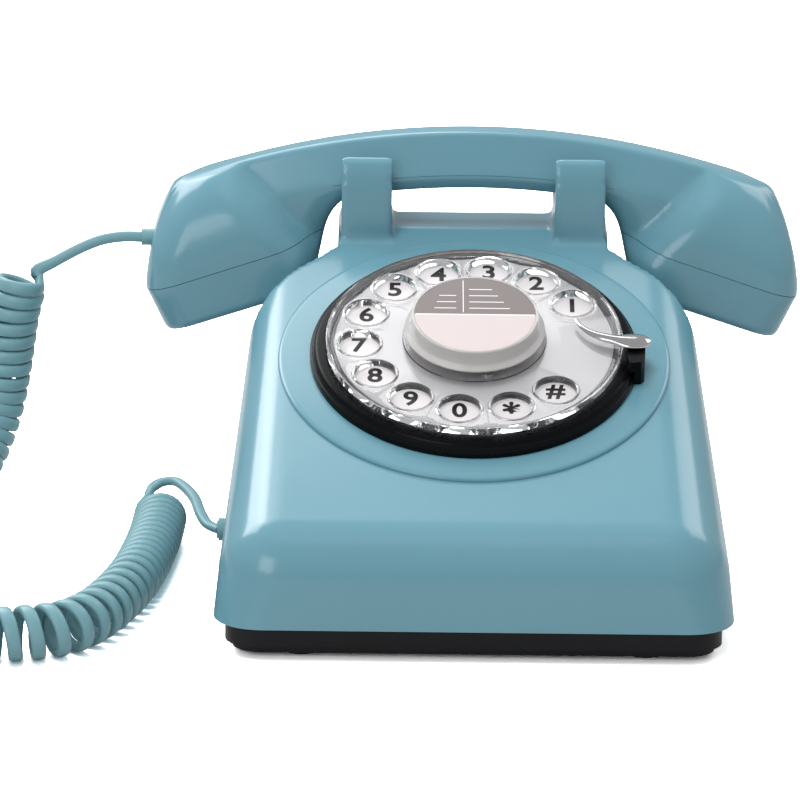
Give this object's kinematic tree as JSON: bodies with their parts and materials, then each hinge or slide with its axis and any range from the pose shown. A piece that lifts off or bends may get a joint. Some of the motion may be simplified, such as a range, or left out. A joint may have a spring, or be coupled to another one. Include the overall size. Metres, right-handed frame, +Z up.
{
  "type": "rotary desk telephone",
  "caption": "Wedge-shaped desk telephone with a clear finger wheel dial, a hands-free button, and a handset on a curly cord in a rear cradle.",
  "frame": {"origin": "middle of the footprint of the telephone, on the table", "axes": "+Z up, -Y towards the person who dials, +X to the right along the handset"},
  "size_m": [0.3302, 0.2162, 0.14],
  "materials": {
    "case_shell": "gloss moulded plastic, light blue",
    "base_pan": "satin moulded plastic, black",
    "rubber_feet": "matt moulded rubber",
    "case_screws": "zinc plated cross head",
    "ballast_plate": "rolled plate",
    "dial_bezel": "satin black moulding",
    "number_plate": "printed pale plate",
    "finger_stop": "bright chrome",
    "finger_stop_post": "black moulding",
    "dial_frame": "pressed plate",
    "dial_rear_plate": "pressed plate with pillars",
    "dial_bearing_bush": "turned",
    "dial_return_spring": "spring strip",
    "dial_frame_screws": "zinc plated",
    "button_guide_post": "turned tube",
    "button_switch": "green board with push switch",
    "governor_housing": "drawn cup",
    "dial_contact_springs": "spring strip",
    "main_circuit_board": "solder mask green",
    "circuit_components": "moulded component bodies",
    "ringer_speaker": "painted basket and magnet",
    "line_jack": "black socket with brass wires",
    "hook_switch_bracket": "bent sheet with a guide pin",
    "hook_return_spring": "wound wire",
    "hook_contact_springs": "spring strip",
    "cord_grommet_base": "soft moulded sleeve",
    "cord_lead_base": "soft gloss cord jacket",
    "cord_coil": "curled cord, soft gloss jacket",
    "cord_lead_handset": "soft gloss cord jacket",
    "finger_wheel": "clear moulded acrylic",
    "wheel_hub": "turned tube with flange",
    "main_gear": "cut gear",
    "pulse_cam": "natural moulding",
    "wheel_clamp_screw": "slotted head",
    "governor_pinion": "cut pinion",
    "governor_shaft": "ground pin",
    "governor_weights": "fly weights",
    "button_cap": "pale translucent moulding",
    "label_card": "two tone printed card",
    "button_stem": "natural rod",
    "hook_plungers": "black pins",
    "hook_bar": "black moulding",
    "handset_back": "gloss moulded plastic, light blue",
    "handset_front": "gloss moulded plastic, light blue",
    "ear_cap": "gloss moulded plastic, light blue",
    "mouth_cap": "gloss moulded plastic, light blue",
    "receiver_capsule": "pressed can",
    "microphone_capsule": "pressed can",
    "handset_ballast": "curved bar",
    "handset_screws": "zinc plated",
    "cord_grommet_handset": "soft moulded sleeve"
  },
  "bodies": {
    "base": {"case_shell": "case_shell", "base_pan": "base_pan", "rubber_feet": "rubber_feet", "case_screws": "case_screws", "ballast_plate": "ballast_plate", "dial_bezel": "dial_bezel", "number_plate": "number_plate", "finger_stop": "finger_stop", "finger_stop_post": "finger_stop_post", "dial_frame": "dial_frame", "dial_rear_plate": "dial_rear_plate", "dial_bearing_bush": "dial_bearing_bush", "dial_return_spring": "dial_return_spring", "dial_frame_screws": "dial_frame_screws", "button_guide_post": "button_guide_post", "button_switch": "button_switch", "governor_housing": "governor_housing", "dial_contact_springs": "dial_contact_springs", "main_circuit_board": "main_circuit_board", "circuit_components": "circuit_components", "ringer_speaker": "ringer_speaker", "line_jack": "line_jack", "hook_switch_bracket": "hook_switch_bracket", "hook_return_spring": "hook_return_spring", "hook_contact_springs": "hook_contact_springs", "cord_grommet_base": "cord_grommet_base", "cord_lead_base": "cord_lead_base", "cord_coil": "cord_coil", "cord_lead_handset": "cord_lead_handset"},
    "dial_wheel": {"finger_wheel": "finger_wheel", "wheel_hub": "wheel_hub", "main_gear": "main_gear", "pulse_cam": "pulse_cam", "wheel_clamp_screw": "wheel_clamp_screw"},
    "governor": {"governor_pinion": "governor_pinion", "governor_shaft": "governor_shaft", "governor_weights": "governor_weights"},
    "hands_free_button": {"button_cap": "button_cap", "label_card": "label_card", "button_stem": "button_stem"},
    "hook_switch": {"hook_plungers": "hook_plungers", "hook_bar": "hook_bar"},
    "handset": {"handset_back": "handset_back", "handset_front": "handset_front", "ear_cap": "ear_cap", "mouth_cap": "mouth_cap", "receiver_capsule": "receiver_capsule", "microphone_capsule": "microphone_capsule", "handset_ballast": "handset_ballast", "handset_screws": "handset_screws", "cord_grommet_handset": "cord_grommet_handset"}
  },
  "joints": [
    {"name": "handset_lift", "type": "slide", "parent": "base", "child": "handset", "axis": [0, 0, 1], "range_m": [0, 0.08]},
    {"name": "hook_plunge", "type": "slide", "parent": "base", "child": "hook_switch", "axis": [0, 0, 1], "range_m": [0, 0.0048], "deforming": ["hook_return_spring"]},
    {"name": "dial_turn", "type": "hinge", "parent": "base", "child": "dial_wheel", "pos_m": [0, -0.004, 0.07801], "axis": [0, 0.3584, -0.9336], "range_deg": [0, 318], "stiffness_Nm_per_rad": 0.004, "springref_deg": -85.94},
    {"name": "governor_turn", "type": "hinge", "parent": "base", "child": "governor", "pos_m": [-0.03383, -0.0155, 0.0736], "axis": [0, 0.3584, -0.9336], "range_deg": [-1600, 0]},
    {"name": "hands_free_press", "type": "slide", "parent": "base", "child": "hands_free_button", "axis": [0, 0.3584, -0.9336], "range_m": [0, 0.0015], "stiffness_N_per_m": 800, "springref_m": -0.0004}
  ],
  "couplings": [
    {"joint": "hook_plunge", "follows": "handset_lift", "ratio": 0.06},
    {"joint": "governor_turn", "follows": "dial_turn", "ratio": -5}
  ]
}
